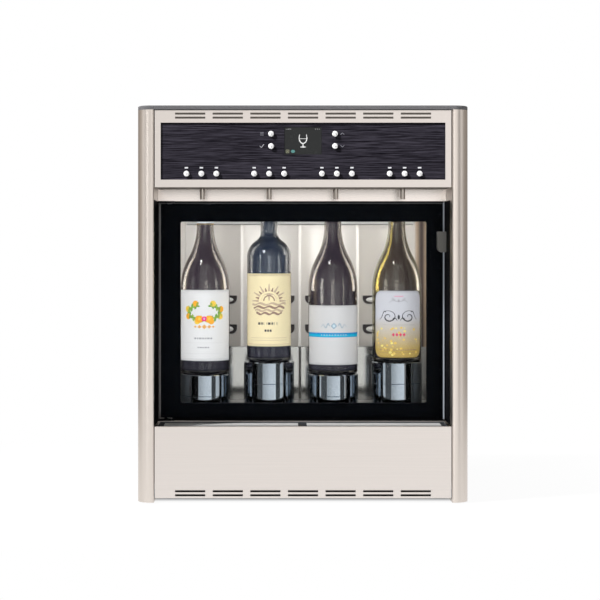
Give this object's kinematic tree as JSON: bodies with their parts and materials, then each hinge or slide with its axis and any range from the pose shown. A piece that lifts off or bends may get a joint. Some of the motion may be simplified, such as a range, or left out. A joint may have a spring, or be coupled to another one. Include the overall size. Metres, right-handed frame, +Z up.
{
  "type": "wine preservation dispenser",
  "caption": "Free-standing cooled wine dispenser in pale satin steel, with a glass door over raised bottles, push-button taps, a drip tray and a rear fan.",
  "frame": {"origin": "middle of the outer box, on the floor", "axes": "+Z up, -Y towards the user at the front, +X to the user's right"},
  "size_m": [0.56, 0.38, 0.672],
  "materials": {
    "champagne_steel": "satin, pale champagne",
    "graphite_cover": "satin",
    "rear_sheet": "matt",
    "black_brushed": "black, brushed sideways",
    "display": "dark screen",
    "circuit_board": "solder mask",
    "lens": "translucent",
    "button": "gloss",
    "liner": "satin",
    "foam": "rigid foam",
    "back_panel": "satin",
    "light": "opal diffuser",
    "black_frame": "satin",
    "pane": "clear",
    "gasket": "matt",
    "handle": "satin grey",
    "platform": "gloss, near black",
    "bottle_glass": "dark",
    "cylinder": "anodised",
    "tap_head": "matt",
    "seal": "matt",
    "tube": "smooth",
    "spout": "polished",
    "tray": "gloss",
    "grille": "brushed",
    "fan": "matt",
    "foot": "matt",
    "inlet": "matt"
  },
  "bodies": {
    "cabinet": {"base_pan": "rear_sheet", "left_side_panel": "champagne_steel", "right_side_panel": "champagne_steel", "top_cover": "graphite_cover", "rear_panel": "rear_sheet", "upper_fascia": "champagne_steel", "control_plate": "black_brushed", "display_module": "display", "control_board": "circuit_board", "indicator_lenses": "lens", "tap_rail": "champagne_steel", "lower_front_panel": "champagne_steel", "lower_vent_strip": "champagne_steel", "cabinet_liner": "liner", "insulation": "foam", "niche_panel": "back_panel", "lower_back_panels": "back_panel", "light_bar": "light", "door_surround": "black_frame", "lift_cylinders": "cylinder", "tap_heads": "tap_head", "stopper_seals": "seal", "dip_tubes": "tube", "spouts": "spout", "gas_manifold": "tap_head", "heat_sink": "cylinder", "fan_frame": "fan", "feet": "foot", "power_inlet": "inlet"},
    "door": {"door_glass": "pane", "door_frame": "black_frame", "door_gasket": "gasket", "door_handle": "handle"},
    "tray": {"drip_tray": "tray", "drip_grille": "grille"},
    "rotor": {"fan_rotor": "fan"},
    "lift_1": {"bottle_platform_1": "platform", "bottle_1": "bottle_glass"},
    "lift_2": {"bottle_platform_2": "platform", "bottle_2": "bottle_glass"},
    "lift_3": {"bottle_platform_3": "platform", "bottle_3": "bottle_glass"},
    "lift_4": {"bottle_platform_4": "platform", "bottle_4": "bottle_glass"},
    "small_pour_button_1_body": {"small_pour_button_1": "button"},
    "medium_pour_button_1_body": {"medium_pour_button_1": "button"},
    "large_pour_button_1_body": {"large_pour_button_1": "button"},
    "small_pour_button_2_body": {"small_pour_button_2": "button"},
    "medium_pour_button_2_body": {"medium_pour_button_2": "button"},
    "large_pour_button_2_body": {"large_pour_button_2": "button"},
    "small_pour_button_3_body": {"small_pour_button_3": "button"},
    "medium_pour_button_3_body": {"medium_pour_button_3": "button"},
    "large_pour_button_3_body": {"large_pour_button_3": "button"},
    "small_pour_button_4_body": {"small_pour_button_4": "button"},
    "medium_pour_button_4_body": {"medium_pour_button_4": "button"},
    "large_pour_button_4_body": {"large_pour_button_4": "button"},
    "menu_button_body": {"menu_button": "button"},
    "ok_button_body": {"ok_button": "button"},
    "up_button_body": {"up_button": "button"},
    "down_button_body": {"down_button": "button"}
  },
  "joints": [
    {"name": "door_hinge", "type": "hinge", "parent": "cabinet", "child": "door", "pos_m": [-0.2375, -0.0925, 0.322], "axis": [0, 0, 1], "range_deg": [-90, 0]},
    {"name": "tray_lift_out", "type": "slide", "parent": "cabinet", "child": "tray", "axis": [0, 0, 1], "range_m": [0, 0.06]},
    {"name": "fan_spin", "type": "hinge", "parent": "cabinet", "child": "rotor", "pos_m": [0, 0.17, 0.39], "axis": [0, 1, 0], "continuous": true},
    {"name": "platform_lift_1", "type": "slide", "parent": "cabinet", "child": "lift_1", "axis": [0, 0, 1], "range_m": [-0.03, 0], "stiffness_N_per_m": 300, "springref_m": 0.15},
    {"name": "platform_lift_2", "type": "slide", "parent": "cabinet", "child": "lift_2", "axis": [0, 0, 1], "range_m": [-0.03, 0], "stiffness_N_per_m": 300, "springref_m": 0.15},
    {"name": "platform_lift_3", "type": "slide", "parent": "cabinet", "child": "lift_3", "axis": [0, 0, 1], "range_m": [-0.03, 0], "stiffness_N_per_m": 300, "springref_m": 0.15},
    {"name": "platform_lift_4", "type": "slide", "parent": "cabinet", "child": "lift_4", "axis": [0, 0, 1], "range_m": [-0.03, 0], "stiffness_N_per_m": 300, "springref_m": 0.15},
    {"name": "small_pour_button_1_press", "type": "slide", "parent": "cabinet", "child": "small_pour_button_1_body", "axis": [0, 1, 0], "range_m": [0, 0.0015], "stiffness_N_per_m": 300, "springref_m": -0.001},
    {"name": "medium_pour_button_1_press", "type": "slide", "parent": "cabinet", "child": "medium_pour_button_1_body", "axis": [0, 1, 0], "range_m": [0, 0.0015], "stiffness_N_per_m": 300, "springref_m": -0.001},
    {"name": "large_pour_button_1_press", "type": "slide", "parent": "cabinet", "child": "large_pour_button_1_body", "axis": [0, 1, 0], "range_m": [0, 0.0015], "stiffness_N_per_m": 300, "springref_m": -0.001},
    {"name": "small_pour_button_2_press", "type": "slide", "parent": "cabinet", "child": "small_pour_button_2_body", "axis": [0, 1, 0], "range_m": [0, 0.0015], "stiffness_N_per_m": 300, "springref_m": -0.001},
    {"name": "medium_pour_button_2_press", "type": "slide", "parent": "cabinet", "child": "medium_pour_button_2_body", "axis": [0, 1, 0], "range_m": [0, 0.0015], "stiffness_N_per_m": 300, "springref_m": -0.001},
    {"name": "large_pour_button_2_press", "type": "slide", "parent": "cabinet", "child": "large_pour_button_2_body", "axis": [0, 1, 0], "range_m": [0, 0.0015], "stiffness_N_per_m": 300, "springref_m": -0.001},
    {"name": "small_pour_button_3_press", "type": "slide", "parent": "cabinet", "child": "small_pour_button_3_body", "axis": [0, 1, 0], "range_m": [0, 0.0015], "stiffness_N_per_m": 300, "springref_m": -0.001},
    {"name": "medium_pour_button_3_press", "type": "slide", "parent": "cabinet", "child": "medium_pour_button_3_body", "axis": [0, 1, 0], "range_m": [0, 0.0015], "stiffness_N_per_m": 300, "springref_m": -0.001},
    {"name": "large_pour_button_3_press", "type": "slide", "parent": "cabinet", "child": "large_pour_button_3_body", "axis": [0, 1, 0], "range_m": [0, 0.0015], "stiffness_N_per_m": 300, "springref_m": -0.001},
    {"name": "small_pour_button_4_press", "type": "slide", "parent": "cabinet", "child": "small_pour_button_4_body", "axis": [0, 1, 0], "range_m": [0, 0.0015], "stiffness_N_per_m": 300, "springref_m": -0.001},
    {"name": "medium_pour_button_4_press", "type": "slide", "parent": "cabinet", "child": "medium_pour_button_4_body", "axis": [0, 1, 0], "range_m": [0, 0.0015], "stiffness_N_per_m": 300, "springref_m": -0.001},
    {"name": "large_pour_button_4_press", "type": "slide", "parent": "cabinet", "child": "large_pour_button_4_body", "axis": [0, 1, 0], "range_m": [0, 0.0015], "stiffness_N_per_m": 300, "springref_m": -0.001},
    {"name": "menu_button_press", "type": "slide", "parent": "cabinet", "child": "menu_button_body", "axis": [0, 1, 0], "range_m": [0, 0.0015], "stiffness_N_per_m": 300, "springref_m": -0.001},
    {"name": "ok_button_press", "type": "slide", "parent": "cabinet", "child": "ok_button_body", "axis": [0, 1, 0], "range_m": [0, 0.0015], "stiffness_N_per_m": 300, "springref_m": -0.001},
    {"name": "up_button_press", "type": "slide", "parent": "cabinet", "child": "up_button_body", "axis": [0, 1, 0], "range_m": [0, 0.0015], "stiffness_N_per_m": 300, "springref_m": -0.001},
    {"name": "down_button_press", "type": "slide", "parent": "cabinet", "child": "down_button_body", "axis": [0, 1, 0], "range_m": [0, 0.0015], "stiffness_N_per_m": 300, "springref_m": -0.001}
  ]
}
